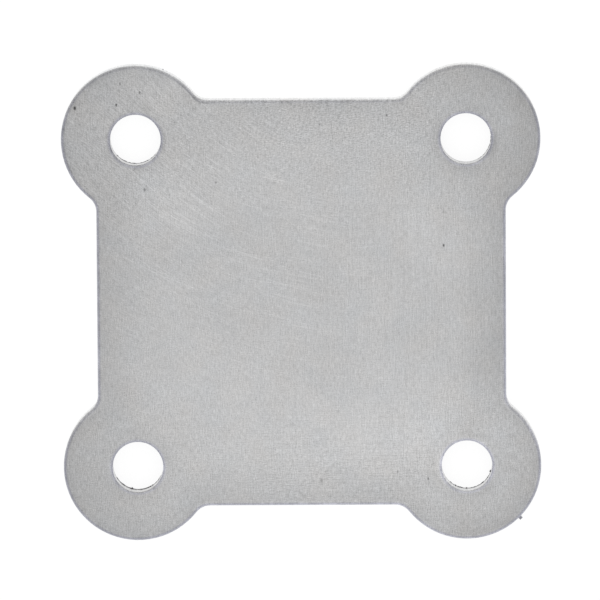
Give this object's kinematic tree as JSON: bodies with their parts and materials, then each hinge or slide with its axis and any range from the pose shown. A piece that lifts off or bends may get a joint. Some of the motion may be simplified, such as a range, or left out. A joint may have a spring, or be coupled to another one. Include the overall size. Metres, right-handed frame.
{
  "type": "cover plate",
  "caption": "Flat square steel cover plate, laser cut from sheet, with a round drilled ear at each corner for bolting it down and a sanded front face.",
  "frame": {"origin": "middle of the underside, which is also the middle of the bolt hole pattern", "axes": "+Z out of the sanded front face; +X and +Y along the straight sides, with the tab stub on the ear at +X -Y"},
  "size_m": [0.0804, 0.0804, 0.0032],
  "materials": {
    "sanded_steel": "sanded satin face, bright laser-cut edges"
  },
  "bodies": {
    "root": {"cover_plate": "sanded_steel"}
  },
  "joints": []
}
